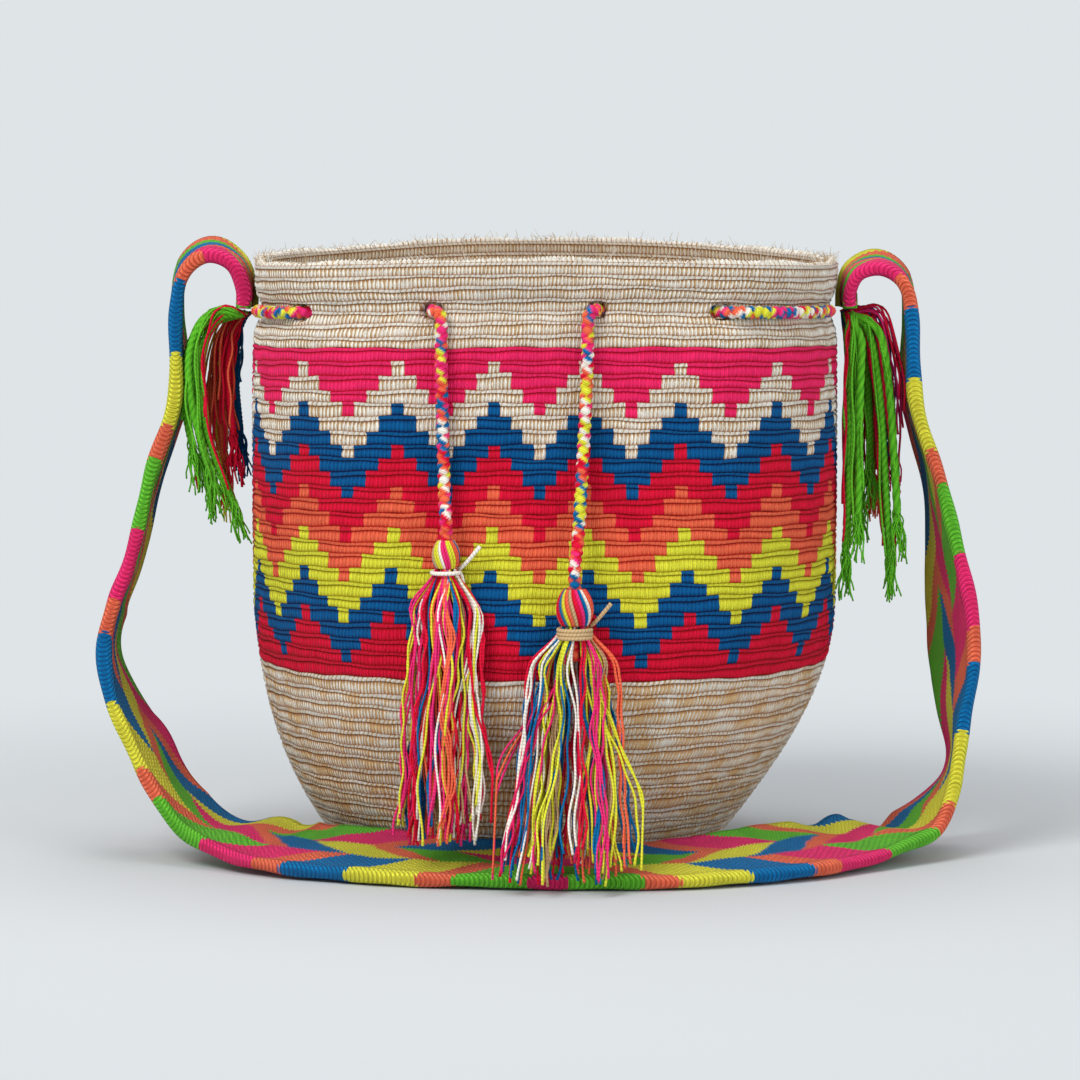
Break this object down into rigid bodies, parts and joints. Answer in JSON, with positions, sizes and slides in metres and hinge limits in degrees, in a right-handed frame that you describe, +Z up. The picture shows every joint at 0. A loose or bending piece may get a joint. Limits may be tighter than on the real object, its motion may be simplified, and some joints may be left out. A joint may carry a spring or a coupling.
{
  "type": "crochet bucket bag",
  "caption": "Crocheted bucket shoulder bag with a zigzag band, a woven strap with fringed ends and a braided drawstring with tassels.",
  "frame": {"origin": "centre of the bag's flat round base, on the floor", "axes": "+Z up through the mouth, -Y towards the side with the two tassels, +X to the viewer's right along the bag's wider direction"},
  "size_m": [0.4244, 0.3205, 0.2972],
  "materials": {
    "body_yarn": "crochet rounds of natural cotton yarn with a zigzag band in pink, blue, red, orange and yellow",
    "strap_yarn": "braided band of cotton yarn in chevrons of pink, orange, blue, yellow and green",
    "cord_yarn": "round braid of mixed cotton yarns",
    "tassel_yarn": "cut cotton yarns in mixed colours",
    "white_yarn": "plain twisted cotton",
    "green_yarn": "plain twisted cotton",
    "red_yarn": "plain twisted cotton",
    "pink_yarn": "plain twisted cotton",
    "orange_yarn": "plain twisted cotton",
    "yellow_yarn": "plain twisted cotton",
    "blue_yarn": "plain twisted cotton"
  },
  "bodies": {
    "bag": {"bag_body": "body_yarn", "drawstring": "cord_yarn", "shoulder_strap": "strap_yarn", "left_seam_yarn": "white_yarn", "right_seam_yarn": "white_yarn", "left_rope_green_1": "green_yarn", "left_rope_green_2": "green_yarn", "left_rope_red_1": "red_yarn", "left_rope_orange_1": "orange_yarn", "left_rope_blue_1": "blue_yarn", "left_rope_yellow_1": "yellow_yarn", "right_rope_green_1": "green_yarn", "right_rope_green_2": "green_yarn", "right_rope_green_3": "green_yarn", "right_rope_pink_1": "pink_yarn", "right_rope_orange_1": "orange_yarn", "right_rope_yellow_1": "yellow_yarn", "right_rope_blue_1": "blue_yarn"},
    "left_tassel": {"left_cord_end": "cord_yarn", "left_tassel_head": "tassel_yarn", "left_tassel_tie": "white_yarn", "left_tassel_skirt": "tassel_yarn"},
    "right_tassel": {"right_cord_end": "cord_yarn", "right_tassel_head": "tassel_yarn", "right_tassel_tie": "white_yarn", "right_tassel_skirt": "tassel_yarn"}
  },
  "joints": [
    {"name": "left_tassel_swing", "type": "hinge", "parent": "bag", "child": "left_tassel", "pos_m": [-0.039, -0.1188, 0.2606], "axis": [-1, 0, 0], "range_deg": [0, 60]},
    {"name": "right_tassel_swing", "type": "hinge", "parent": "bag", "child": "right_tassel", "pos_m": [0.0292, -0.1211, 0.261], "axis": [-1, 0, 0], "range_deg": [0, 60]}
  ]
}
